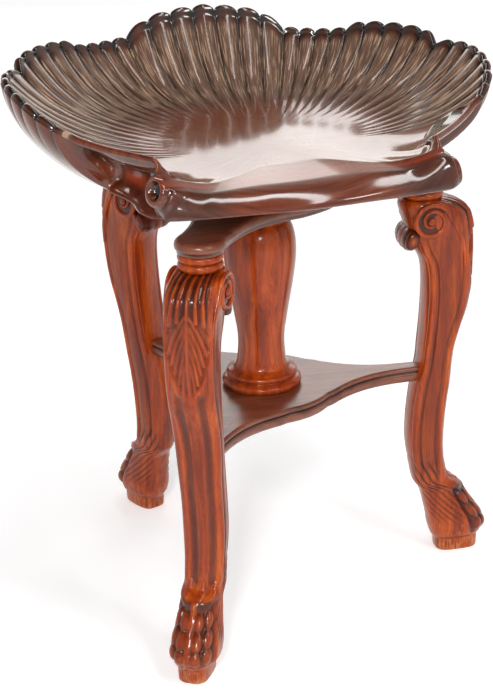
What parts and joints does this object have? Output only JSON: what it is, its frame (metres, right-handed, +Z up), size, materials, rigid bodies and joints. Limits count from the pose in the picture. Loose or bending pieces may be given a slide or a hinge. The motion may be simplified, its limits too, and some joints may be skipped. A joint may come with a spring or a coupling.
{
  "type": "revolving vanity stool",
  "caption": "Carved shell seat on a lifting screw, over a triform frame, a turned column, a shelf and cabriole legs with paw feet.",
  "frame": {"origin": "on the floor, under the axis of the lifting screw", "axes": "+Z up; the seat's rolled front lip looks to -Y; +X is to the sitter's left when seated facing -Y, and one leg stands within a degree of it"},
  "size_m": [0.437, 0.3871, 0.5083],
  "materials": {
    "mahogany": "french polish",
    "seat_mahogany": "french polish, darkened",
    "dowel_wood": "bare",
    "iron": "blackened",
    "steel": "worn"
  },
  "bodies": {
    "stand": {"top_frame": "mahogany", "column": "mahogany", "column_wedge": "dowel_wood", "shelf": "mahogany", "shelf_dowels": "dowel_wood", "neck_dowels": "dowel_wood", "leg_front": "mahogany", "leg_right": "mahogany", "leg_rear": "mahogany", "screw_nut": "iron", "nut_screws": "steel"},
    "washer": {"stop_washer": "steel"},
    "seat": {"lift_screw": "steel", "stop_pin": "steel", "seat_plate": "iron", "boss_pin": "steel", "plate_screws": "steel", "seat_shell": "seat_mahogany"}
  },
  "joints": [
    {"name": "seat_lift", "type": "slide", "parent": "stand", "child": "washer", "axis": [0, 0, 1], "range_m": [0, 0.088]},
    {"name": "seat_spin", "type": "hinge", "parent": "washer", "child": "seat", "pos_m": [0, 0, 0], "axis": [0, 0, 1], "range_deg": [0, 3960]}
  ],
  "couplings": [
    {"joint": "seat_lift", "follows": "seat_spin", "m_per_rad": 0.0012732}
  ]
}
